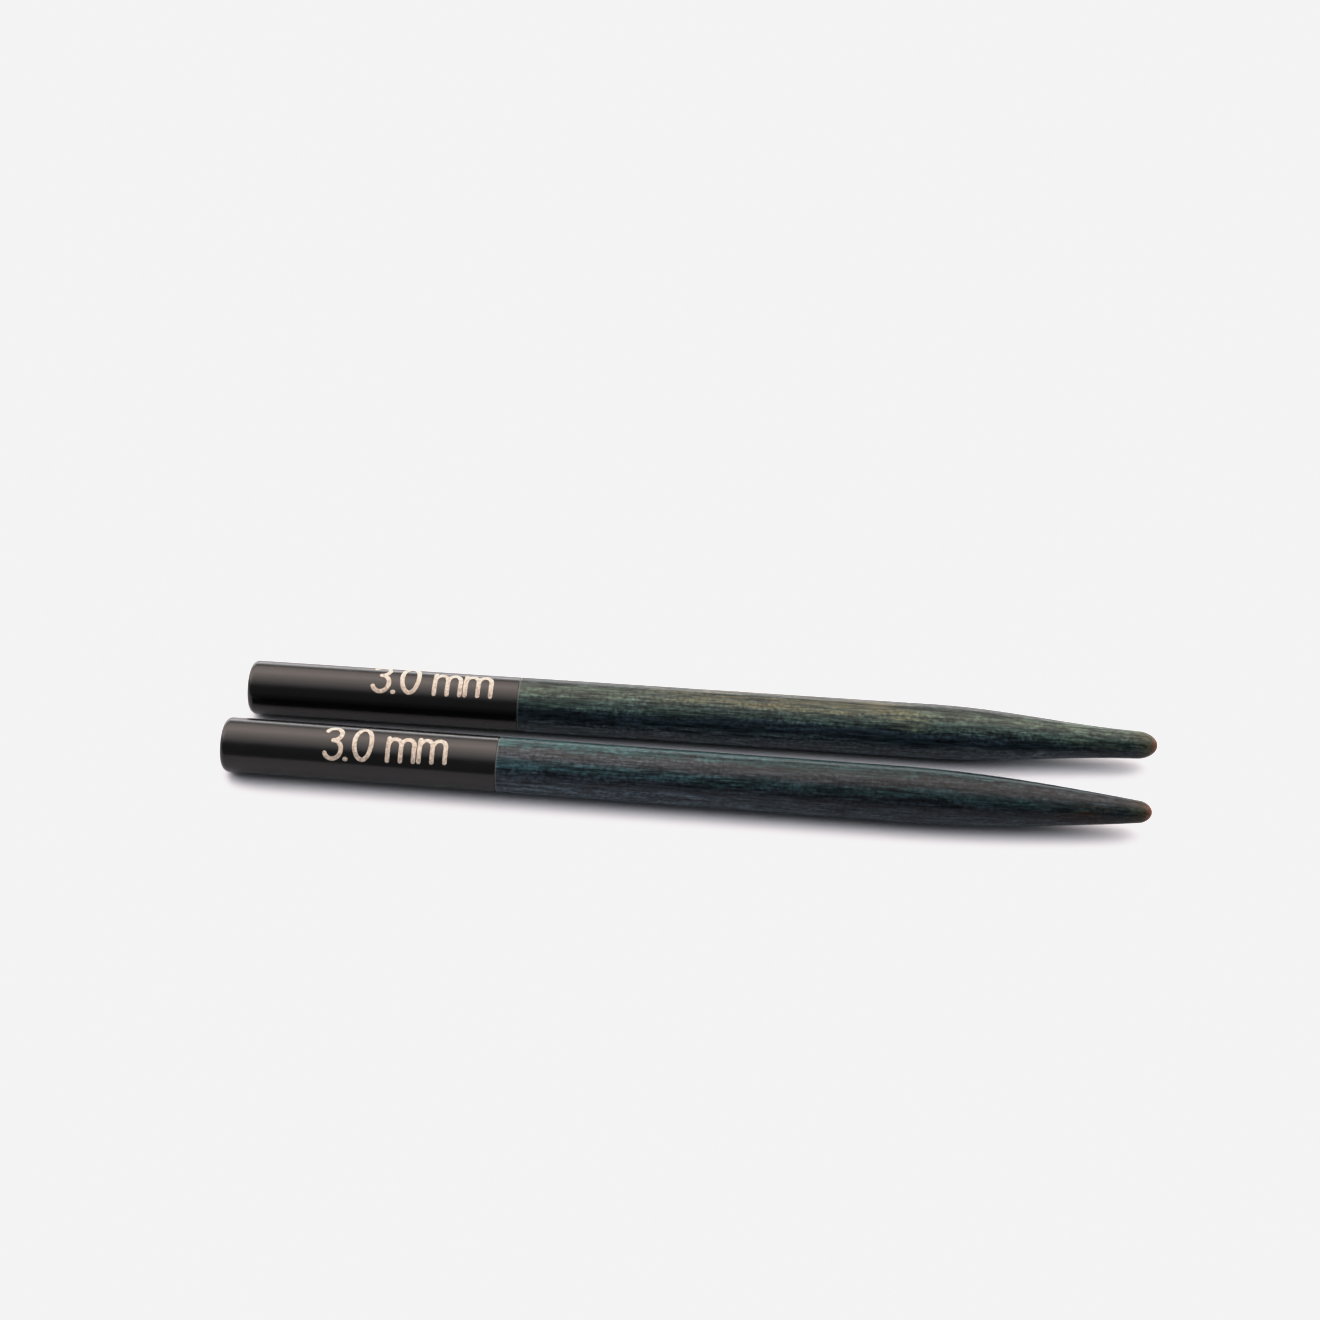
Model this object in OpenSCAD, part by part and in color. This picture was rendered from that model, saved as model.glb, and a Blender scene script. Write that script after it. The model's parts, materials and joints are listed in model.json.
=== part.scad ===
// Pair of short interchangeable knitting needle tips, lying side by side.
// Each tip is a turned shaft of laminated dyed veneer, glued by a tenon into a metal ferrule
// whose open end is threaded for a cord. +X runs towards the points and the tips lie on Z = 0.

/* [Pair] */
// Clear gap between the two needles at their cord ends
gap = 1.6; // [0.8:0.1:6]
// How far the rear needle sits towards the points
stagger = 0.5; // [0:0.1:3]
// Angle between the two needles, opening towards the points, in degrees
splay = 0.55; // [0:0.05:3]

/* [Needle] */
// Length of one needle tip, from cord end to point
length = 50; // [38:0.5:130]
// Diameter of the shaft and its ferrule, which is the needle's size
shaft_d = 3; // [2.5:0.25:3.75]

/* [Front point] */
// Length over which the front needle tapers
front_taper_len = 13.5; // [8:0.1:20]
// Diameter that the front needle's taper reaches at the point
front_point_d = 1.05; // [0.8:0.05:1.8]
// Hollowness of the front needle's taper: 1 is full right up to the point, 2 is waisted
front_hollow = 1; // [1:0.1:2]
// Length of the front needle's rounded nose
front_nose = 0.65; // [0.5:0.05:3]

/* [Rear point] */
// Length over which the rear needle tapers
rear_taper_len = 12.4; // [8:0.1:20]
// Diameter that the rear needle's taper reaches at the point, which is worn blunter
rear_point_d = 1.5; // [0.8:0.05:1.8]
// Hollowness of the rear needle's taper: 1 is full right up to the point, 2 is waisted
rear_hollow = 2; // [1:0.1:2]
// Length of the rear needle's rounded nose
rear_nose = 1.1; // [0.5:0.05:3]

/* [Ferrule] */
// Length of the ferrule
ferrule_len = 15.05; // [12:0.05:20]
// Radius of the rounded edge at the cord end
mouth_edge = 0.38; // [0.1:0.02:0.45]
// Width of the broken edge at the wood end
rim_edge = 0.05; // [0.02:0.01:0.1]
// Diameter of the threaded bore inside its thread, which is the tapping size of M2 x 0.4
thread_d = 1.6; // [1.2:0.05:1.75]
// Length of the threaded bore
thread_len = 6; // [4:0.1:8]
// Depth of the 45 degree lead-in at the mouth
lead_in = 0.2; // [0.1:0.02:0.25]
// Solid wall between the threaded bore and the socket for the wood
web = 1; // [0.5:0.1:2]
// Wall around the socket for the wood
socket_wall = 0.35; // [0.25:0.05:0.5]

/* [Wood] */
// Thickness of the glue film between the tenon and its socket
glue_t = 0.05; // [0.02:0.01:0.1]
// Thickness of the glue behind the end of the tenon
glue_end = 0.2; // [0.05:0.05:0.5]
// Width of the broken edge on the wood's shoulder
shoulder_edge = 0.06; // [0.02:0.01:0.15]
// Thickness of each of the three inner veneers
ply_t = 0.6; // [0.5:0.02:0.72]
// Thickness at which the two outer veneers run out along the taper
feather_t = 0.05; // [0.02:0.01:0.1]
// Roll of the front needle's veneers about its axis, in degrees
front_roll = 133; // [0:1:180]
// Roll of the rear needle's veneers about its axis, in degrees
rear_roll = 126; // [0:1:180]

/* [Hidden] */
$fn = 96;

// Number of veneers in a shaft, and their dye colours in stacking order
PLIES = 5;
PLY_COLOURS = ["#46686d", "#2b3c4e", "#4e7873", "#5c5f69", "#6f7d5c"];
// Points along the rounded nose and along the taper
NOSE_STEPS = 8;
TAPER_STEPS = 16;

shaft_r = shaft_d / 2;
thread_r = thread_d / 2;
socket_r = shaft_r - socket_wall;
tenon_r = socket_r - glue_t;
socket_start = lead_in + thread_len + web;
tenon_start = socket_start + glue_end;
// Radius of the taper where the outer veneers have only their feather thickness left
feather_r = (PLIES / 2 - 1) * ply_t + feather_t;
// What shapes each point: [length of the taper, radius at the point, hollowness, length of the nose]
front_point = [front_taper_len, front_point_d / 2, front_hollow, front_nose];
rear_point = [rear_taper_len, rear_point_d / 2, rear_hollow, rear_nose];
// Half the angle between the needles: each one turns by this much from the X axis
half_splay = splay / 2;
// Cord ends of the two needles, set so that the pair is centred on the origin
spacing = shaft_d + gap;
front_x = -(length + stagger) / 2;
rear_x = front_x + stagger;

// Radius of a taper at a distance u back from the point: a quarter sine wave to the power of
// its hollowness
function taper_r(u, point) = point[1] + (shaft_r - point[1]) * pow(sin(90 * u / point[0]), point[2]);
// Radius of a rounded nose: the taper narrowed by an ellipse as long as the nose
function nose_r(u, point) = taper_r(u, point) * sqrt(1 - pow(1 - u / point[3], 2));
// Distance along the needle at which its taper leaves the outer veneers their feather thickness
function feather_at(point) = length
    - point[0] * asin(pow((feather_r - point[1]) / (shaft_r - point[1]), 1 / point[2])) / 90;

// Outline of a shaft from the end of the tenon to the point, as [radius, distance along]
function shaft_outline(point) = concat(
    [[0, tenon_start], [tenon_r, tenon_start], [tenon_r, ferrule_len],
     [shaft_r - shoulder_edge, ferrule_len], [shaft_r, ferrule_len + shoulder_edge]],
    [for (i = [0:TAPER_STEPS - 1])
        let (u = point[0] + (point[3] - point[0]) * i / TAPER_STEPS) [taper_r(u, point), length - u]],
    [for (i = [0:NOSE_STEPS - 1])
        let (u = point[3] * (1 - sin(90 * i / NOSE_STEPS))) [nose_r(u, point), length - u]],
    [[0, length]]
);

// Places a piece that was made standing on its cord end along +Z
module lay_front() {
    translate([front_x, -spacing / 2, shaft_r])
        rotate([0, 0, -half_splay])
            rotate([0, 90, 0]) children();
}

module lay_rear() {
    translate([rear_x, spacing / 2, shaft_r])
        rotate([0, 0, half_splay])
            rotate([0, 90, 0]) children();
}

// Plated metal sleeve: threaded bore at the cord end, blind socket for the tenon at the other
module ferrule() {
    color("#2b2929") rotate_extrude() difference() {
        square([shaft_r, ferrule_len]);
        // Rounded outer edge at the mouth
        translate([shaft_r - mouth_edge, 0]) difference() {
            square(mouth_edge);
            translate([0, mouth_edge]) circle(r = mouth_edge);
        }
        // Broken outer edge where the wood begins
        polygon([[shaft_r - rim_edge, ferrule_len], [shaft_r, ferrule_len - rim_edge],
                 [shaft_r, ferrule_len]]);
        // Threaded bore and its lead-in
        square([thread_r, lead_in + thread_len]);
        polygon([[0, 0], [thread_r + lead_in, 0], [thread_r, lead_in], [0, lead_in]]);
        // Socket for the tenon
        translate([0, socket_start]) square([socket_r, ferrule_len - socket_start]);
    }
}

// Glue film that fills the socket around and behind the tenon
module glue() {
    color("#c9b98a") rotate_extrude() difference() {
        translate([0, socket_start]) square([socket_r, ferrule_len - socket_start]);
        translate([0, tenon_start]) square([tenon_r, ferrule_len - tenon_start]);
    }
}

// A stretch of a flat layer, between two heights in the stack and two places along the needle
module layer(low, high, from, to) {
    translate([low, -shaft_d, from]) cube([high - low, 2 * shaft_d, to - from]);
}

// One veneer of the shaft: a flat layer of the turned body. The outer two are as thick as is
// left and run out along the taper, where their neighbours come to the surface
module ply(i, point, roll) {
    outer = i == 1 || i == PLIES;
    runs_out = feather_at(point);
    low = i == 1 ? -shaft_d : (i - 1 - PLIES / 2) * ply_t;
    high = i == PLIES ? shaft_d : (i - PLIES / 2) * ply_t;
    color(PLY_COLOURS[i - 1]) rotate([0, 0, roll]) intersection() {
        rotate_extrude() polygon(shaft_outline(point));
        union() {
            layer(low, high, 0, outer ? runs_out : length + 1);
            if (i == 2) layer(-shaft_d, high, runs_out, length + 1);
            if (i == PLIES - 1) layer(low, shaft_d, runs_out, length + 1);
        }
    }
}

module front_ferrule() { lay_front() ferrule(); }
module front_glue() { lay_front() glue(); }
module front_ply(i) { lay_front() ply(i, front_point, front_roll); }
module rear_ferrule() { lay_rear() ferrule(); }
module rear_glue() { lay_rear() glue(); }
module rear_ply(i) { lay_rear() ply(i, rear_point, rear_roll); }

front_ferrule();
front_glue();
front_ply(1);  // front_ply_1
front_ply(2);  // front_ply_2
front_ply(3);  // front_ply_3
front_ply(4);  // front_ply_4
front_ply(5);  // front_ply_5
rear_ferrule();
rear_glue();
rear_ply(1);  // rear_ply_1
rear_ply(2);  // rear_ply_2
rear_ply(3);  // rear_ply_3
rear_ply(4);  // rear_ply_4
rear_ply(5);  // rear_ply_5
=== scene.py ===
"""Two short interchangeable knitting needle tips lying side by side on a pale table.

Each tip is a turned shaft of five dyed veneers, glued into a black lacquered brass ferrule that
carries a printed size and is threaded for a cord. Lengths are in millimetres unless a name ends
in _m; a needle's own directions are along (cord end to point), across and up.
"""

import json
import math

import bmesh
import bpy
import numpy as np
from mathutils import Matrix, Vector


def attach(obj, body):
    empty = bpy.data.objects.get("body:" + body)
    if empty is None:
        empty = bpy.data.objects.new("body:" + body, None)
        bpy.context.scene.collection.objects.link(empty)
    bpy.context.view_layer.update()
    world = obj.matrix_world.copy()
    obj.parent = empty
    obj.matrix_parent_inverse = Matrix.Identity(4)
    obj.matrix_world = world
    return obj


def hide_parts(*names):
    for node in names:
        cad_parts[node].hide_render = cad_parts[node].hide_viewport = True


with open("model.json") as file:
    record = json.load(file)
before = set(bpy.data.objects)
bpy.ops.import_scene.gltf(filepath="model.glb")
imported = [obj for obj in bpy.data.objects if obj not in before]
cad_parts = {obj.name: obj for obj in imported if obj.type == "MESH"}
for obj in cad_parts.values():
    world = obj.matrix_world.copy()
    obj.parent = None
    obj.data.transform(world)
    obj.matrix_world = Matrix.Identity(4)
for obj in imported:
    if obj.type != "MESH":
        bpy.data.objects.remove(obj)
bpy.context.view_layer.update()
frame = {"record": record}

MM = 0.001

# Sizes of one needle tip, the same as the CAD model's
LENGTH = 50.0
SHAFT_R = 1.5
FERRULE_LEN = 15.05
MOUTH_EDGE = 0.38
RIM_EDGE = 0.05
SHOULDER_EDGE = 0.06
DRILL_POINT = 0.25
LEAD_IN = 0.2
THREAD_R = 0.8
THREAD_LEN = 6.0
WEB = 1.0
SOCKET_R = 1.15
GLUE_T = 0.05
GLUE_END = 0.2
TENON_R = SOCKET_R - GLUE_T
SOCKET_START = LEAD_IN + THREAD_LEN + WEB
TENON_START = SOCKET_START + GLUE_END
PLY_T = 0.6
PLIES = 5
ROLL = {"front": math.radians(133), "rear": math.radians(126)}

# How near an outline comes to the needle's axis or to a veneer's glue line, and the angle past
# which an edge stays sharp
AXIS_R = 1e-4
SHARP_DEG = 30.0

# The shape of each point: length of its taper, radius that the taper reaches, how hollow it is
# (1 is full, 2 is waisted) and length of the rounded nose
POINTS = {"front": (13.5, 0.525, 1.0, 0.65), "rear": (12.4, 0.75, 2.0, 1.1)}

# M2 thread: its pitch, the depth of its groove behind the bore's wall, and the height and slope
# of the wave that cuts it, in depths and in depths to a pitch
THREAD_PITCH = 0.4
THREAD_DEPTH = 0.2
THREAD_ROOT = 1.25
THREAD_SLOPE = 2.9

# The glue squeezed out at the ferrule's rim: how deep its middle lies under the shaft's surface,
# and its radius
BEAD_DEPTH = 0.055
BEAD_R = 0.024

# The printed size mark: where it starts along each ferrule, how far its foot is rolled up from
# the side that faces forwards, in degrees, and how far it climbs for each millimetre of its length
MARK_START = {"front": 5.63, "rear": 6.85}
MARK_FOOT = {"front": 26.5, "rear": 47.0}
MARK_CLIMB = {"front": 0.035, "rear": 0.016}


# ---------------------------------------------------------------- needle frames


def needle_frame(side):
    """Mouth centre and the along, across and up directions of a needle, in the row's metres.

    The thread's mount lies on the axis just inside the lead-in and points out of the mouth.
    """
    mounts = {m["name"]: m for m in frame["record"]["mounts"]}
    thread = mounts[side + "_cord_thread"]
    outwards = Vector(thread["axis"]).normalized()
    along = -outwards
    up = Vector((0, 0, 1))
    mouth = Vector(thread["pos_m"]) + outwards * LEAD_IN * MM
    return {"mouth": mouth, "along": along, "across": up.cross(along), "up": up}


NEEDLES = {side: needle_frame(side) for side in ("front", "rear")}


def to_row(needle, local):
    """Turns points (along, across, up) in mm of one needle into the row's metres."""
    basis = np.array([needle["along"], needle["across"], needle["up"]])
    return np.array(needle["mouth"]) + MM * (np.asarray(local) @ basis)


def block_axes(side):
    """Directions through and across the veneers, as (along, across, up) rows of one needle."""
    turn = ROLL[side]
    through = np.array([0, math.sin(turn), -math.cos(turn)])
    return through, np.cross([1, 0, 0], through)


# ---------------------------------------------------------------- meshes


def tube(rings):
    """Vertices and faces of a closed body from rings of points, an array (rings, points, 3).

    Neighbouring rings are joined by quads, and each end ring by a fan to its own centre.
    """
    count, points = rings.shape[:2]
    ends = np.stack([rings[0].mean(0), rings[-1].mean(0)])
    vertices = np.concatenate([rings.reshape(-1, 3), ends])
    index = np.arange(count * points).reshape(count, points)
    nearby = np.roll(index, -1, axis=1)
    quads = np.stack([index[:-1], nearby[:-1], nearby[1:], index[1:]], axis=-1).reshape(-1, 4)
    first, last = count * points, count * points + 1
    fan_a = np.stack([nearby[0], index[0], np.full(points, first)], axis=-1)
    fan_b = np.stack([index[-1], nearby[-1], np.full(points, last)], axis=-1)
    return vertices, quads.tolist() + fan_a.tolist() + fan_b.tolist()


def make_piece(name, needle, shells, material):
    """A mesh object from closed shells of rings given in one needle's own millimetres.

    Coinciding points are joined, faces are turned outwards together, and edges that turn by more
    than SHARP_DEG stay sharp. Known fault: at the feather ends of the veneers some joined points
    leave edges that more than two faces share, and front_veneer_1 and rear_veneer_2 come out
    facing inwards.
    """
    work = bmesh.new()
    for rings in shells:
        vertices, faces = tube(rings)
        shell = bpy.data.meshes.new(name)
        shell.from_pydata(to_row(needle, vertices).tolist(), [], faces)
        work.from_mesh(shell)
        bpy.data.meshes.remove(shell)
    bmesh.ops.remove_doubles(work, verts=work.verts, dist=1e-4 * MM)
    bmesh.ops.dissolve_degenerate(work, edges=work.edges, dist=1e-5 * MM)
    bmesh.ops.recalc_face_normals(work, faces=work.faces)
    mesh = bpy.data.meshes.new(name)
    work.to_mesh(mesh)
    work.free()
    mesh.polygons.foreach_set("use_smooth", np.ones(len(mesh.polygons), dtype=bool))
    mesh.set_sharp_from_angle(angle=math.radians(SHARP_DEG))
    mesh.materials.append(material)
    piece = bpy.data.objects.new(name, mesh)
    bpy.context.scene.collection.objects.link(piece)
    return piece


def lathe(outline, points=160, groove=None):
    """Rings of a turned body: each (distance along, radius) of the outline, swept round.

    groove(along, angle, radius) is added to the radius of every point, as a screw thread needs.
    """
    outline = np.asarray(outline, float)
    angle = np.linspace(0, 2 * math.pi, points, endpoint=False)
    along, angle = np.meshgrid(outline[:, 0], angle, indexing="ij")
    radius = np.repeat(outline[:, 1:], points, axis=1)
    if groove is not None:
        radius = radius + groove(along, angle, radius)
    return np.stack([along, radius * np.cos(angle), radius * np.sin(angle)], axis=-1)


def arc(centre, radius, start, end, steps):
    """Points of a circle in the (along, radius) plane, between two angles in degrees."""
    angle = np.radians(np.linspace(start, end, steps + 1))
    return np.stack([centre[0] + radius * np.cos(angle), centre[1] + radius * np.sin(angle)], 1)


# ---------------------------------------------------------------- shapes of the pieces


def thread_groove(along, angle, radius):
    """Depth of the cord's screw thread: a ridge and a groove that climb one pitch a turn.

    The phase is along / pitch - angle / turn, folded into a triangle wave with flat crests and
    roots, and it fades out over half a pitch at both ends of the bore. The flanks are about 70
    degrees apart, a little more open than a real thread's 60.
    """
    phase = np.mod(along / THREAD_PITCH - angle / (2 * math.pi), 1.0)
    ramp = np.clip(THREAD_ROOT - THREAD_SLOPE * np.abs(phase - 0.5), 0.0, 1.0)
    inside = np.clip((along - LEAD_IN * 0.5) / THREAD_PITCH * 2, 0, 1)
    inside *= np.clip((LEAD_IN + THREAD_LEN - along) / THREAD_PITCH * 2, 0, 1)
    return THREAD_DEPTH * ramp * inside * (np.abs(radius - THREAD_R) < 1e-6)


def ferrule_rings():
    """One turned shell: bore floor, thread, lead-in, rounded mouth, outside, rim, socket."""
    wall = np.linspace(LEAD_IN + THREAD_LEN, LEAD_IN, 160)
    bore = np.stack([wall, np.full_like(wall, THREAD_R)], 1)
    floor = LEAD_IN + THREAD_LEN
    drill_point = [[floor + DRILL_POINT, AXIS_R], [floor, THREAD_R]]
    lead = [[0.0, THREAD_R + LEAD_IN]]
    mouth = arc((MOUTH_EDGE, SHAFT_R - MOUTH_EDGE), MOUTH_EDGE, 180, 90, 14)
    sleeve = np.linspace(MOUTH_EDGE, FERRULE_LEN - RIM_EDGE, 24)[1:]
    outside = np.stack([sleeve, np.full_like(sleeve, SHAFT_R)], 1)
    rim = arc((FERRULE_LEN - RIM_EDGE, SHAFT_R - RIM_EDGE), RIM_EDGE, 90, 0, 5)[1:]
    socket = [[FERRULE_LEN, SOCKET_R], [SOCKET_START, SOCKET_R], [SOCKET_START, AXIS_R]]
    outline = np.concatenate([drill_point, bore[1:], lead, mouth, outside, rim, socket])
    return lathe(outline, groove=thread_groove)


def glue_rings():
    """The glue film in the socket, around and behind the tenon, as one thin cup.

    It stops a hair inside the ferrule's rim, where the bead takes over.
    """
    end = FERRULE_LEN - 0.01
    return lathe(
        [[SOCKET_START, AXIS_R], [SOCKET_START, SOCKET_R], [end, SOCKET_R], [end, TENON_R],
         [TENON_START, TENON_R], [TENON_START, AXIS_R]],
        points=96,
    )


def bead_rings():
    """The hairline of glue squeezed into the groove between the ferrule's rim and the wood.

    It is a small circle carried round the needle. Its first and last rings coincide. Known fault:
    the fans that close them leave one small wall inside the bead.
    """
    section = arc((FERRULE_LEN, SHAFT_R - BEAD_DEPTH), BEAD_R, 0, 360, 12)[:-1]
    turn = np.linspace(0, 2 * math.pi, 160)[:, None]
    radius = section[None, :, 1]
    along = section[None, :, 0] + 0 * turn
    return np.stack([along, radius * np.cos(turn), radius * np.sin(turn)], axis=-1)


def shaft_radius(side, back):
    """Radius at a distance back from the point.

    The taper is a quarter sine wave to the power of its hollowness, from the point's radius up to
    the full shaft, and the nose narrows it by an ellipse as long as the nose.
    """
    taper, point_r, hollow, nose = POINTS[side]
    wave = np.sin(math.pi / 2 * np.clip(back / taper, 0, 1)) ** hollow
    closing = np.sqrt(1 - np.clip(1 - back / nose, 0, 1) ** 2)
    return (point_r + (SHAFT_R - point_r) * wave) * closing


def shaft_outline(side, reach):
    """(distance along, radius) of the shaft from its tenon to where its radius is reach.

    Beyond the straight part the stations crowd towards the end, where the radius falls fastest.
    """
    taper = POINTS[side][0]
    fine = np.linspace(0, taper, 6001)
    stop = np.interp(reach, shaft_radius(side, fine), fine)
    tenon = [[TENON_START, TENON_R], [FERRULE_LEN, TENON_R]]
    shoulder = arc((FERRULE_LEN + SHOULDER_EDGE, SHAFT_R - SHOULDER_EDGE), SHOULDER_EDGE, 180, 90, 5)
    straight = np.linspace(FERRULE_LEN + SHOULDER_EDGE + 0.1, LENGTH - taper, 22)
    back = stop + (taper - stop) * np.linspace(1, 0, 110)[1:] ** 2
    ends = np.concatenate(
        [np.stack([straight, np.full_like(straight, SHAFT_R)], 1),
         np.stack([LENGTH - back, shaft_radius(side, back)], 1)]
    )
    return np.concatenate([tenon, shoulder, ends])


def ply_rings(side, number):
    """Rings of one veneer: at each station, the part of the shaft's circle between two planes.

    With x through the veneers, the outline runs round the circle from the upper plane to the
    lower one at y = +sqrt(r^2 - x^2), straight across, and back round at y = -sqrt(r^2 - x^2).
    """
    low = -np.inf if number == 1 else (number - 1 - PLIES / 2) * PLY_T
    high = np.inf if number == PLIES else (number - PLIES / 2) * PLY_T
    nearest = 0.0 if low < 0 < high else min(abs(low), abs(high))
    outline = shaft_outline(side, nearest + AXIS_R)
    along, radius = outline[:, :1], outline[:, 1:]
    top = np.arccos(np.clip(high / radius, -1, 1))
    bottom = np.arccos(np.clip(low / radius, -1, 1))
    step = np.linspace(0, 1, 60)[None, :]
    angle = top + (bottom - top) * step
    x, y = radius * np.cos(angle), radius * np.sin(angle)
    chord = np.linspace(0, 1, 8)[None, 1:-1]
    low_x, low_y = x[:, -1:] + 0 * chord, y[:, -1:] * (1 - 2 * chord)
    high_x, high_y = x[:, :1] + 0 * chord, -y[:, :1] * (1 - 2 * chord)
    x = np.concatenate([x, low_x, x[:, ::-1], high_x], axis=1)
    y = np.concatenate([y, low_y, -y[:, ::-1], high_y], axis=1)
    through, across = block_axes(side)
    s = np.repeat(along, x.shape[1], axis=1)
    return s[..., None] * np.array([1.0, 0, 0]) + x[..., None] * through + y[..., None] * across


# ---------------------------------------------------------------- the size mark

# Plain numerals and letters of equal width, drawn with a round-ended pen: their heights and
# widths, the pen's half width and its steps, the thickness of the ink and where each one starts
DIGIT_H = 2.1
DIGIT_W = 1.17
LETTER_H = 1.5
LETTER_W = 1.66
PEN = 0.125
PEN_STEP = 0.03
INK_T = 0.012
DOT_AT = 1.31
ZERO_AT = 1.62
LETTERS_AT = (3.46, 5.16)


def ellipse(centre, half_w, half_h, start, end, steps=40):
    """Points of an ellipse's arc between two angles in degrees."""
    angle = np.radians(np.linspace(start, end, steps))
    return np.stack([centre[0] + half_w * np.cos(angle), centre[1] + half_h * np.sin(angle)], 1)


def numeral_three():
    """Two round bowls, the upper one smaller, that meet in the middle of the numeral."""
    middle, bowl = DIGIT_W / 2, DIGIT_W / 2 - PEN
    lower = (DIGIT_H - 2 * PEN) * 0.275
    upper = DIGIT_H / 2 - PEN - lower
    top = ellipse((middle, DIGIT_H - PEN - upper), bowl * 0.9, upper, 155, -90)
    bottom = ellipse((middle, PEN + lower), bowl, lower, 90, -155)
    return [top, bottom]


def numeral_zero():
    """A tall closed ring."""
    centre = (ZERO_AT + DIGIT_W / 2, DIGIT_H / 2)
    return [ellipse(centre, DIGIT_W / 2 - PEN, DIGIT_H / 2 - PEN, 90, 455, 72)]


def decimal_point():
    """A dot made by a very short line."""
    return [np.array([[DOT_AT - 0.02, PEN], [DOT_AT, PEN], [DOT_AT + 0.02, PEN]])]


def letter_m(start):
    """Three stems, with an arch from each stem to the next."""
    bay = (LETTER_W - 2 * PEN) / 2
    stem, spring = start + PEN, LETTER_H - PEN - bay * 0.62
    strokes = [np.array([[stem, LETTER_H - PEN * 0.6], [stem, spring], [stem, PEN]])]
    for left in (stem, stem + bay):
        arch = ellipse((left + bay / 2, spring), bay / 2, bay * 0.62, 180, 0, 24)
        strokes.append(np.concatenate([arch, [[left + bay, spring * 0.9], [left + bay, PEN]]]))
    return strokes


def size_mark_strokes():
    """Pen lines of the needle's size, 3.0 mm, starting at 0."""
    strokes = numeral_three() + decimal_point() + numeral_zero()
    return strokes + letter_m(LETTERS_AT[0]) + letter_m(LETTERS_AT[1])


def pen_line(path):
    """The path resampled at even steps, with its sideways direction and round-ended half width.

    The half width is PEN along the line and closes as a half circle within PEN of each end.
    """
    step = np.linalg.norm(np.diff(path, axis=0), axis=1)
    length = np.concatenate([[0], np.cumsum(step)])
    closed = np.allclose(path[0], path[-1], atol=1e-6)
    at = np.linspace(0, length[-1], max(8, int(length[-1] / PEN_STEP)))
    inner = np.stack([np.interp(at, length, path[:, k]) for k in (0, 1)], 1)
    if not closed:
        # Extra stations past both ends carry the half circles, closer together at their tips
        cap = PEN * (1 - np.cos(np.linspace(0, math.pi / 2, 7)))[:-1]
        first, last = inner[0] - inner[1], inner[-1] - inner[-2]
        first, last = first / np.linalg.norm(first), last / np.linalg.norm(last)
        head = inner[0] + first * (PEN - cap)[:, None]
        tail = inner[-1] + last * (PEN - cap[::-1])[:, None]
        inner = np.concatenate([head, inner, tail])
        half = np.sqrt(np.clip(PEN**2 - (PEN - cap) ** 2, 0, None))
        width = np.concatenate([half, np.full(len(inner) - 2 * len(cap), PEN), half[::-1]])
    else:
        width = np.full(len(inner), PEN)
    ahead = np.gradient(inner, axis=0)
    if closed:
        ahead[0] = ahead[-1] = inner[1] - inner[-2]
    ahead /= np.linalg.norm(ahead, axis=1, keepdims=True)
    side = np.stack([-ahead[:, 1], ahead[:, 0]], 1)
    return inner, side, np.maximum(width, 2e-3)


def stroke_rings(side, path, lift):
    """A pen line as a thin raised band of ink wrapped round the ferrule.

    A point (x, a) of the flat drawing goes to x along the needle and an angle (a + climb * x) /
    radius round it. The band's section is a low dome, from a little below the lacquer up to its
    thickness.
    """
    inner, sideways, half = pen_line(path)
    across = np.array([-1.0, -0.97, -0.8, -0.4, 0.0, 0.4, 0.8, 0.97, 1.0, 0.0])
    height = np.array([-0.5, 0.45, 0.8, 0.95, 1.0, 0.95, 0.8, 0.45, -0.5, -0.6]) * INK_T
    flat = inner[:, None, :] + sideways[:, None, :] * (half[:, None] * across[None, :])[..., None]
    radius = SHAFT_R + height[None, :] + lift + 0 * flat[..., 0]
    climbed = flat[..., 1] + MARK_CLIMB[side] * flat[..., 0]
    angle = math.radians(MARK_FOOT[side]) + climbed / SHAFT_R
    return np.stack(
        [MARK_START[side] + flat[..., 0], -radius * np.cos(angle), radius * np.sin(angle)], axis=-1
    )


# ---------------------------------------------------------------- materials


def linear(hex_colour):
    """An sRGB hex colour as linear RGBA."""
    parts = [int(hex_colour[i : i + 2], 16) / 255 for i in (1, 3, 5)]
    return [c / 12.92 if c <= 0.04045 else ((c + 0.055) / 1.055) ** 2.4 for c in parts] + [1.0]


def new_material(name):
    """An empty node material with its Principled shader."""
    material = bpy.data.materials.new(name)
    material.use_nodes = True
    return material, material.node_tree, material.node_tree.nodes["Principled BSDF"]


def connect(tree, node, inputs):
    """Sets or links a node's inputs, given as {socket's name or number: value}.

    A value may be a plain one, another node's socket, or a node, whose first output in use is
    taken.
    """
    for name, value in inputs.items():
        if isinstance(value, bpy.types.Node):
            value = next(output for output in value.outputs if output.enabled)
        if isinstance(value, bpy.types.NodeSocket):
            tree.links.new(value, node.inputs[name])
        else:
            node.inputs[name].default_value = value


def add(tree, kind, inputs, stops=(), **settings):
    """Adds a node with its inputs and properties; stops are a ramp's (place, colour) pairs.

    Inputs that share a name go by number. A map range takes its source range at 1 and 2 and its
    target range at 3 and 4 (0 to 1 where none is given). A mix takes its factor at 0, and its two
    ends at 2 and 3 for numbers or 6 and 7 for colours. A math node takes its operands in order.
    """
    node = tree.nodes.new("ShaderNode" + kind)
    for name, value in settings.items():
        setattr(node, name, value)
    for place, colour in stops:
        node.color_ramp.elements.new(place).color = colour
    if stops:
        # A new ramp has one element at each end, which the stops take the place of
        node.color_ramp.elements.remove(node.color_ramp.elements[0])
        node.color_ramp.elements.remove(node.color_ramp.elements[-1])
    connect(tree, node, inputs)
    return node


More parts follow.
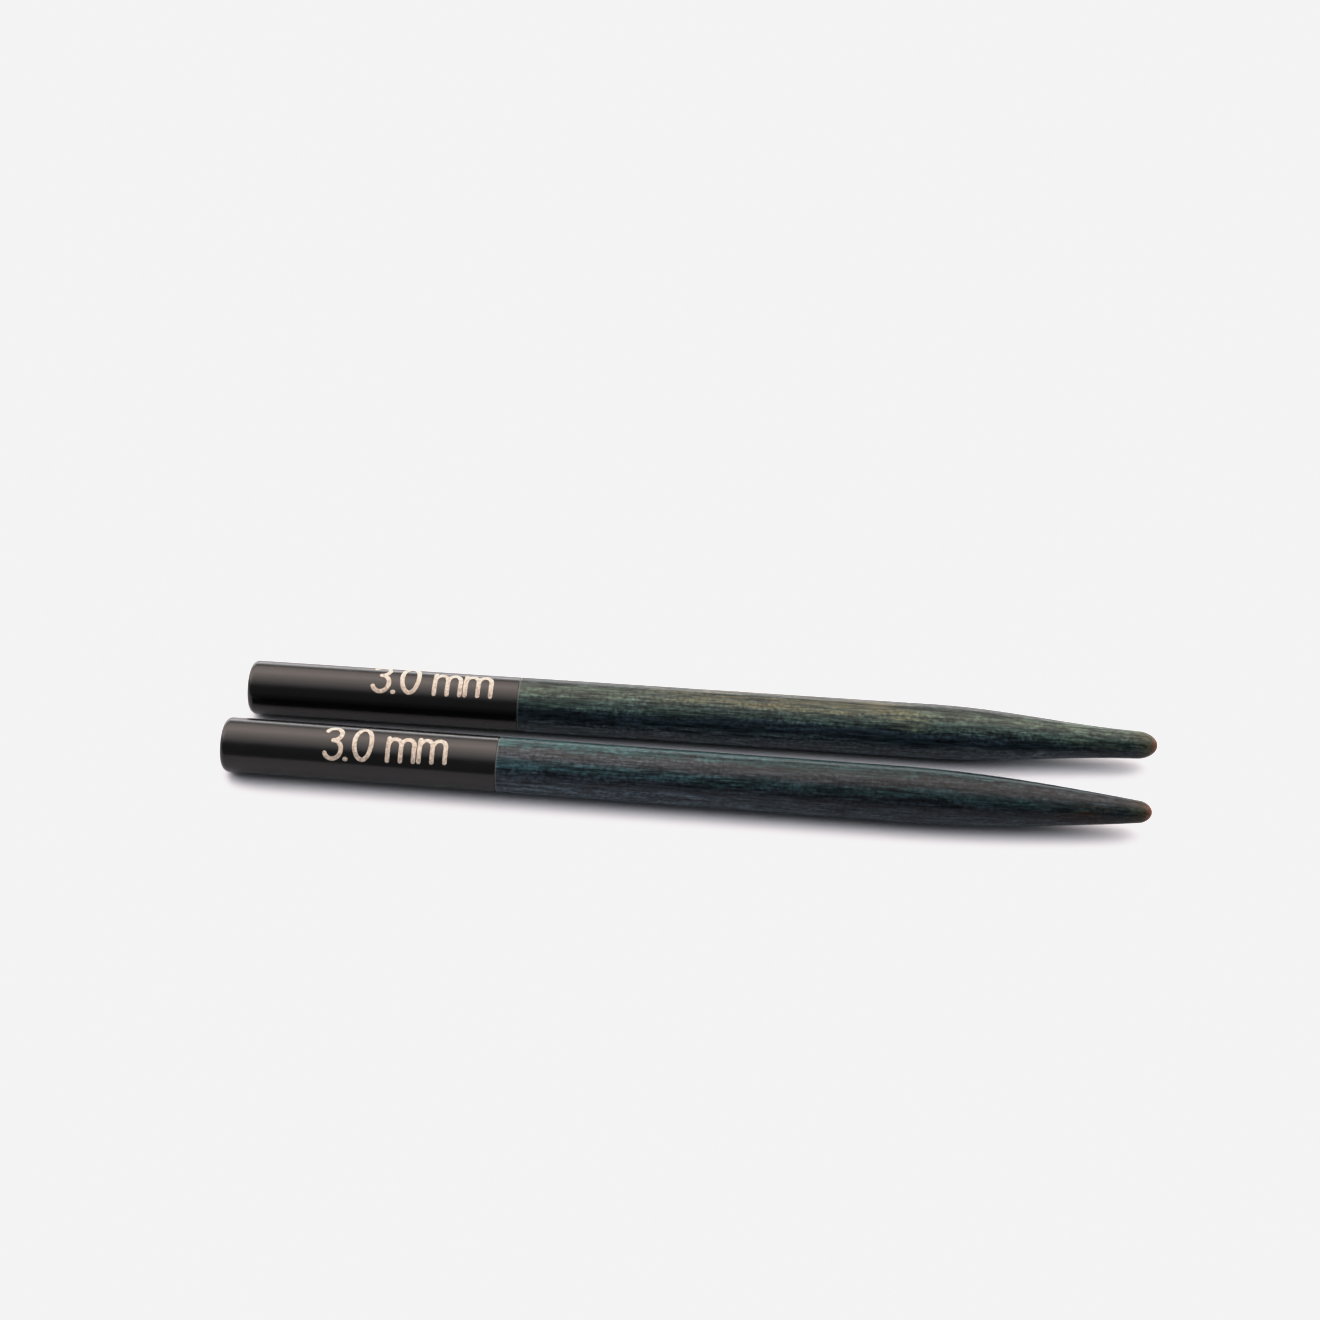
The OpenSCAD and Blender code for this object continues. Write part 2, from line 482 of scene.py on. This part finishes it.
def needle_place(tree, needle, axes):
    """Object coordinates as millimetres from the needle's mouth, along three given directions.

    axes holds the directions as rows of (along, across, up) of the needle.
    """
    basis = np.array([needle["along"], needle["across"], needle["up"]])
    turn = Matrix((np.asarray(axes) @ basis).tolist()).transposed().to_euler()
    source = add(tree, "TexCoord", {}).outputs["Object"]
    inputs = {"Vector": source, "Location": needle["mouth"], "Rotation": turn, "Scale": (MM, MM, MM)}
    return add(tree, "Mapping", inputs, vector_type="TEXTURE")


def grain(tree, place, size, detail=3.0, roughness=0.6, shift=0.0):
    """Noise from 0 to 1 whose features are about size millimetres in each direction."""
    spread = {"Vector": place, "Location": (shift, shift, shift), "Scale": [1 / s for s in size]}
    inputs = {"Vector": add(tree, "Mapping", spread), "Scale": 1.0}
    return add(tree, "TexNoise", {**inputs, "Detail": detail, "Roughness": roughness})


def black_lacquer(needle, name):
    """Black stoved lacquer over turned brass.

    A smooth, nearly black film with a satin shine. Faint turning rings, about 0.07 mm apart like
    the feed of a fine cut, and scuffs 0.1 mm wide along the needle show in the shine, and in the
    bore the tap has cut through it to the brass.
    """
    material, tree, shader = new_material(name)
    place = needle_place(tree, needle, np.eye(3))
    rings = grain(tree, place, (0.07, 8.0, 8.0), detail=2.0)
    scuffs = grain(tree, place, (0.9, 0.12, 0.12), detail=4.0, roughness=0.7)
    haze = grain(tree, place, (3.0, 1.0, 1.0), detail=2.0, shift=4.0)
    split = add(tree, "SeparateXYZ", {"Vector": place})
    flat = add(tree, "CombineXYZ", {"Y": split.outputs["Y"], "Z": split.outputs["Z"]})
    off_axis = add(tree, "VectorMath", {0: flat}, operation="LENGTH")
    in_bore = add(tree, "MapRange", {"Value": off_axis, 1: 0.93, 2: 1.06, 3: 1.0, 4: 0.0})
    patchy = add(tree, "MapRange", {"Value": scuffs, 1: 0.3, 2: 0.55})
    bare = add(tree, "Math", {0: in_bore, 1: patchy}, operation="MULTIPLY")
    film = add(tree, "Mix", {0: haze, 6: linear("#0d0d0e"), 7: linear("#141416")}, data_type="RGBA")
    colour = add(tree, "Mix", {0: bare, 6: film, 7: linear("#b8935a")}, data_type="RGBA")
    scuffed = add(tree, "MapRange", {"Value": scuffs, 1: 0.5, 2: 0.75, 3: 0.0, 4: 0.12})
    satin = add(tree, "Math", {0: haze, 1: 0.08, 2: scuffed}, operation="MULTIPLY_ADD")
    rough = add(tree, "Math", {0: satin, 1: 0.14}, operation="ADD")
    relief = add(tree, "Math", {0: scuffs, 1: 0.4, 2: rings}, operation="MULTIPLY_ADD")
    bump = add(tree, "Bump", {"Strength": 0.3, "Distance": 0.002 * MM, "Height": relief})
    connect(tree, shader, {
        "Base Color": colour,
        "Metallic": bare,
        "Roughness": rough,
        "Specular IOR Level": 0.43,
        "Normal": bump,
    })
    return material


def amber_epoxy():
    """Cured two-part epoxy, smooth and a little translucent.

    It shows only as a hairline at the rim, too thin for its amber to give more than a warm grey.
    """
    material, tree, shader = new_material("amber_epoxy")
    source = add(tree, "TexCoord", {}).outputs["Object"]
    clouds = grain(tree, source, (0.4 * MM, 0.4 * MM, 0.4 * MM))
    shades = {0: clouds, 6: linear("#33332f"), 7: linear("#555652")}
    connect(tree, shader, {
        "Base Color": add(tree, "Mix", shades, data_type="RGBA"),
        "Roughness": 0.35,
        "Subsurface Weight": 0.2,
        "Subsurface Scale": 0.05 * MM,
    })
    return material


def cream_ink(needle, name):
    """Pad-printed cream ink: matt, opaque, and slightly thin where the pad lifted."""
    material, tree, shader = new_material(name)
    place = needle_place(tree, needle, np.eye(3))
    uneven = grain(tree, place, (0.12, 0.12, 0.12))
    body = add(tree, "MapRange", {"Value": uneven, 1: 0.35, 2: 0.62})
    shades = {0: body, 6: linear("#736b63"), 7: linear("#a0978f")}
    connect(tree, shader, {
        "Base Color": add(tree, "Mix", shades, data_type="RGBA"),
        "Roughness": 0.6,
        "Normal": add(tree, "Bump", {"Strength": 0.3, "Distance": 0.003 * MM, "Height": uneven}),
    })
    return material


# The record's slots of the five veneers, from the lowest in front to the highest behind
VENEERS = ["petrol_veneer", "navy_veneer", "teal_veneer", "slate_veneer", "green_veneer"]
# Their dyes in each needle, in dense wood and in open wood
DYES = {
    "front": [
        ("#1e242b", "#3c474e"), ("#14191e", "#272f36"), ("#131b1f", "#2c4045"),
        ("#181c20", "#32373c"), ("#131e21", "#273c3e"),
    ],
    "rear": [
        ("#212930", "#434f55"), ("#151c21", "#29363f"), ("#1a2424", "#3c4c4a"),
        ("#222a29", "#455149"), ("#181f20", "#323936"),
    ],
}
# How much each needle's dye brightens or darkens from the ferrule to the start of its taper, where
# the turned end grain drinks more of it
DEEPENING = {"front": (1.15, 0.6), "rear": (0.85, 0.85)}
# Splashes of another dye in each needle: the first and last veneer that they colour, where they
# start and end along it, and the dye
SPLASHES = {
    "front": [(3, 3, 30.0, 35.5, "#15171a"), (2, 3, 43.5, 49.2, "#30251d")],
    "rear": [
        (4, 5, 21.5, 37.0, "#474639"),
        (3, 4, 34.0, 38.0, "#4c4c3b"),
        (2, 3, 44.5, 48.6, "#2e2c1a"),
    ],
}
# What wear has brought out towards the point, and at its very end
THIN_DYE = "#37311f"
BARE_WOOD = "#4d3223"


def dyed_birch(side):
    """Birch veneers dyed right through, pressed into a stack with resin, turned and lacquered.

    Each veneer has its own dye, which bleeds a little into its neighbours along ragged edges and
    is deep in dense wood and bright in open wood. Fine fibres run the whole length, rays cross
    them as short flecks in patches, and a splash of another dye comes and goes. The lacquer is
    satin and follows the grain, so its shine breaks up along the fibres and flecks. The point is
    worn to bare amber wood. Birch's vessels are about 0.1 mm wide and its rays a few tenths of a
    millimetre high, so the fibre lines, 0.09 mm, and the flecks, 0.2 mm, are at about real size.
    """
    material, tree, shader = new_material(side + "_dyed_birch")
    through, across = block_axes(side)
    place = needle_place(tree, NEEDLES[side], [[1, 0, 0], through, across])
    split = add(tree, "SeparateXYZ", {"Vector": place})
    along, height = split.outputs["X"], split.outputs["Y"]
    shift = 0.0 if side == "front" else 31.0

    streaks = grain(tree, place, (2.5, 0.18, 0.18), detail=4.0, roughness=0.65, shift=shift)
    fibres = grain(tree, place, (1.0, 0.09, 0.09), roughness=0.65, shift=shift + 7)
    flecks = grain(tree, place, (0.22, 0.2, 0.2), detail=2.0, shift=shift + 13)
    patches = grain(tree, place, (4.0, 0.7, 0.7), shift=shift + 19)
    waves = grain(tree, place, (5.0, 1.5, 1.5), detail=5.0, roughness=0.7, shift=shift + 23)

    # Height in the stack, made ragged, as a place from 0 to 1 in the ramps of dyes
    ragged = add(tree, "Math", {0: waves, 1: 1.2, 2: height}, operation="MULTIPLY_ADD")
    ragged = add(tree, "Math", {0: flecks, 1: 0.5, 2: ragged}, operation="MULTIPLY_ADD")
    half = PLIES * PLY_T / 2
    stack = add(tree, "MapRange", {"Value": ragged, 1: 0.85 - half, 2: 0.85 + half})
    dense, open_wood = [], []
    for number, (deep, bright) in enumerate(DYES[side]):
        for edge in (0.2, 0.8):
            dense.append(((number + edge) / PLIES, linear(deep)))
            open_wood.append(((number + edge) / PLIES, linear(bright)))
    dense = add(tree, "ValToRGB", {"Fac": stack}, stops=dense)
    open_wood = add(tree, "ValToRGB", {"Fac": stack}, stops=open_wood)
    soaked = add(tree, "MapRange", {"Value": streaks, 1: 0.36, 2: 0.64})
    dye = add(tree, "Mix", {0: soaked, 6: dense, 7: open_wood}, data_type="RGBA")

    # The splashes of another dye, in the wood that took it up
    for first, last, start, end, colour in SPLASHES[side]:
        low, high = (first - 1) / PLIES, last / PLIES
        masks = [
            add(tree, "MapRange", {"Value": along, 1: start, 2: start + 3}),
            add(tree, "MapRange", {"Value": along, 1: end - 2, 2: end, 3: 1.0, 4: 0.0}),
            add(tree, "MapRange", {"Value": stack, 1: low, 2: low + 0.05}),
            add(tree, "MapRange", {"Value": stack, 1: high - 0.05, 2: high, 3: 1.0, 4: 0.0}),
            add(tree, "MapRange", {"Value": streaks, 1: 0.44, 2: 0.64}),
        ]
        taken = masks[0]
        for mask in masks[1:]:
            taken = add(tree, "Math", {0: taken, 1: mask}, operation="MULTIPLY")
        dye = add(tree, "Mix", {0: taken, 6: dye, 7: linear(colour)}, data_type="RGBA")

    # Fibres and flecks lighten and darken the dye
    light = add(tree, "MapRange", {"Value": fibres, 1: 0.3, 2: 0.7, 3: 0.45, 4: 1.75})
    dye = add(tree, "VectorMath", {0: dye, "Scale": light}, operation="SCALE")
    crossed = add(tree, "MapRange", {"Value": flecks, 1: 0.35, 2: 0.65, 3: 0.55, 4: 1.6})
    where = add(tree, "MapRange", {"Value": patches, 1: 0.32, 2: 0.5})
    flecked = add(tree, "Mix", {0: where, 2: 1.0, 3: crossed}, data_type="FLOAT")
    dye = add(tree, "VectorMath", {0: dye, "Scale": flecked}, operation="SCALE")

    # The dye is deeper where the taper has cut across the grain
    first, last = DEEPENING[side]
    depth = {"Value": along, 1: FERRULE_LEN, 2: LENGTH - POINTS[side][0], 3: first, 4: last}
    deepened = add(tree, "MapRange", depth)
    dye = add(tree, "VectorMath", {0: dye, "Scale": deepened}, operation="SCALE")

    # The broken edge beside the ferrule is pale, and the point is worn
    edge = FERRULE_LEN + SHOULDER_EDGE
    shoulder = add(tree, "MapRange", {"Value": along, 1: edge, 2: edge + 0.04, 3: 0.5, 4: 0.0})
    dye = add(tree, "Mix", {0: shoulder, 6: dye, 7: linear("#5a5e5e")}, data_type="RGBA")
    rubbed = add(tree, "Math", {0: streaks, 1: 1.2, 2: along}, operation="MULTIPLY_ADD")
    thin = add(tree, "MapRange", {"Value": rubbed, 1: LENGTH - 1.0, 2: LENGTH + 0.3, 4: 0.6})
    dye = add(tree, "Mix", {0: thin, 6: dye, 7: linear(THIN_DYE)}, data_type="RGBA")
    bare = add(tree, "MapRange", {"Value": rubbed, 1: LENGTH + 0.12, 2: LENGTH + 0.42})
    dye = add(tree, "Mix", {0: bare, 6: dye, 7: linear(BARE_WOOD)}, data_type="RGBA")

    satin = add(tree, "MapRange", {"Value": streaks, 1: 0.3, 2: 0.7, 3: 0.22, 4: 0.36})
    relief = add(tree, "Math", {0: flecks, 1: 0.5, 2: fibres}, operation="MULTIPLY_ADD")
    connect(tree, shader, {
        "Base Color": dye,
        "Roughness": satin,
        "Specular IOR Level": 0.19,
        "Normal": add(tree, "Bump", {"Strength": 0.6, "Distance": 0.012 * MM, "Height": relief}),
    })
    return material


# ---------------------------------------------------------------- the two needles


glue_finish = amber_epoxy()

for side, needle in NEEDLES.items():
    body = side + "_tip"
    birch = dyed_birch(side)

    ferrule = make_piece(side + "_ferrule_sleeve", needle, [ferrule_rings()],
                         black_lacquer(needle, side + "_black_lacquer"))
    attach(ferrule, body)
    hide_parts(side + "_ferrule")

    glue = make_piece(side + "_glue_film", needle, [glue_rings()], glue_finish)
    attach(glue, body)
    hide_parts(side + "_glue")

    bead = make_piece(side + "_glue_bead", needle, [bead_rings()], glue_finish)
    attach(bead, body)

    for number, slot in enumerate(VENEERS, 1):
        veneer = make_piece(f"{side}_veneer_{number}", needle, [ply_rings(side, number)], birch)
        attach(veneer, body)
        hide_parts(f"{side}_ply_{number}")

    # Each stroke is lifted a hair above the one before, so that no two tops coincide
    strokes = [stroke_rings(side, path, 2e-4 * k) for k, path in enumerate(size_mark_strokes())]
    mark = make_piece(side + "_size_mark", needle, strokes, cream_ink(needle, side + "_cream_ink"))
    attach(mark, body)


# ---------------------------------------------------------------- table, light and camera


# Half the side of the table top, and radius and half length of the light tent over it, in metres
TABLE_HALF_M = 6.0
TENT_R_M = 3.0
TENT_HALF_M = 9.0
# The tent's brightness, by degrees round from the front horizon over the top to the back one,
# and its colour there: dim low in front and behind, brightest and a little warm high up behind
TENT_LIGHT = [
    (0, 0.38, "#ffffff"), (50, 0.42, "#ffffff"), (68, 2.4, "#fffbf8"), (91, 4.3, "#fff4ed"),
    (116, 6.0, "#fff2ea"), (144, 3.4, "#fff2ea"), (156, 0.6, "#fff6f0"), (180, 0.1, "#fff6f0"),
]
TENT_PEAK = 6.0
# The camera's response: the level of its white, its contrast, the light at its knee and the
# light at which its curve ends
PALE_WHITE = 0.915
CONTRAST = 1.28
KNEE = 0.88
CURVE_END = 1.6


def sheet(name, points, material):
    """A stage surface from a grid of points in metres, an array (rows, columns, 3)."""
    index = np.arange(points.shape[0] * points.shape[1]).reshape(points.shape[:2])
    faces = np.stack([index[:-1, :-1], index[:-1, 1:], index[1:, 1:], index[1:, :-1]], axis=-1)
    mesh = bpy.data.meshes.new(name)
    mesh.from_pydata(points.reshape(-1, 3).tolist(), [], faces.reshape(-1, 4).tolist())
    mesh.materials.append(material)
    surface = bpy.data.objects.new(name, mesh)
    bpy.context.scene.collection.objects.link(surface)
    return surface


def table():
    """A plain pale matt table top, a flat grid at height 0."""
    material, tree, shader = new_material("pale_table")
    # A cool pale grey, which the warm light makes neutral
    connect(tree, shader, {
        "Base Color": linear("#c2c5cc"), "Roughness": 0.95, "Specular IOR Level": 0.1,
    })
    side = np.linspace(-TABLE_HALF_M, TABLE_HALF_M, 3)
    y, x = np.meshgrid(side, side, indexing="ij")
    sheet("table", np.stack([x, y, 0 * x], axis=-1), material)


def light_tent():
    """The soft studio light: half a cylinder of glowing cloth over the needles.

    A point at angle e round from the front horizon is (x, -r cos e, r sin e). Its brightness
    follows e, worked out again in the material as atan2(z, -y).
    """
    material, tree, shader = new_material("glowing_cloth")
    source = add(tree, "TexCoord", {}).outputs["Object"]
    split = add(tree, "SeparateXYZ", {"Vector": source})
    front = add(tree, "Math", {0: split.outputs["Y"], 1: -1.0}, operation="MULTIPLY")
    angle = add(tree, "Math", {0: split.outputs["Z"], 1: front}, operation="ARCTAN2")
    place = add(tree, "Math", {0: angle, 1: math.pi}, operation="DIVIDE")
    stops = [
        (degrees / 180, [c * light / TENT_PEAK for c in linear(colour)[:3]] + [1.0])
        for degrees, light, colour in TENT_LIGHT
    ]
    glow = add(tree, "ValToRGB", {"Fac": place}, stops=stops)
    emission = add(tree, "Emission", {"Color": glow, "Strength": TENT_PEAK})
    connect(tree, tree.nodes["Material Output"], {"Surface": emission})
    tree.nodes.remove(shader)
    # Its feet stop a thousandth of a radian short of the table
    arch = np.linspace(0.001, math.pi - 0.001, 61)
    e, x = np.meshgrid(arch, np.linspace(-TENT_HALF_M, TENT_HALF_M, 5), indexing="ij")
    points = np.stack([x, -TENT_R_M * np.cos(e), TENT_R_M * np.sin(e)], axis=-1)
    tent = sheet("light_tent", points, material)
    tent.visible_camera = False


def pale_room():
    """The plain white room beyond the table."""
    world = bpy.data.worlds.new("pale_room")
    world.use_nodes = True
    background = world.node_tree.nodes["Background"]
    connect(world.node_tree, background, {"Color": (1, 1, 1, 1), "Strength": 1.1})
    bpy.context.scene.world = world


def camera():
    """A camera above and in front, turned a little towards the points."""
    turn, rise = math.radians(5.654), math.radians(43)
    distance_m, aim = 146.08 * MM, Vector((-2.51, 8.302, 0)) * MM
    back = Vector((math.sin(turn) * math.cos(rise), -math.cos(turn) * math.cos(rise), math.sin(rise)))
    lens = bpy.data.cameras.new("camera")
    lens.lens, lens.sensor_width = 69.64, 36.0
    lens.clip_start, lens.clip_end = 0.005, 20.0
    view = bpy.data.objects.new("camera", lens)
    view.location = aim + back * distance_m
    view.rotation_euler = back.to_track_quat("Z", "Y").to_euler()
    bpy.context.scene.collection.objects.link(view)
    bpy.context.scene.camera = view


def camera_response():
    """How the camera turns light into a shown level: a little contrast and a short white shoulder.

    With y = (light / knee) ** contrast, level = white * y / (1 + y ** 10) ** 0.1, which is held
    at its last value beyond the curve's end.
    """
    light = CURVE_END * np.linspace(0, 1, 21) ** 2
    steep = (light / KNEE) ** CONTRAST
    level = PALE_WHITE * steep / (1 + steep**10) ** 0.1
    view = bpy.context.scene.view_settings
    view.view_transform = "Standard"
    view.use_curve_mapping = True
    curves = view.curve_mapping
    curves.use_clip = False
    curves.extend = "HORIZONTAL"
    whole = curves.curves[3]
    whole.points[1].location = (light[-1], level[-1])
    for place in zip(light[1:-1], level[1:-1]):
        whole.points.new(*place)
    curves.update()


table()
light_tent()
pale_room()
camera()
camera_response()
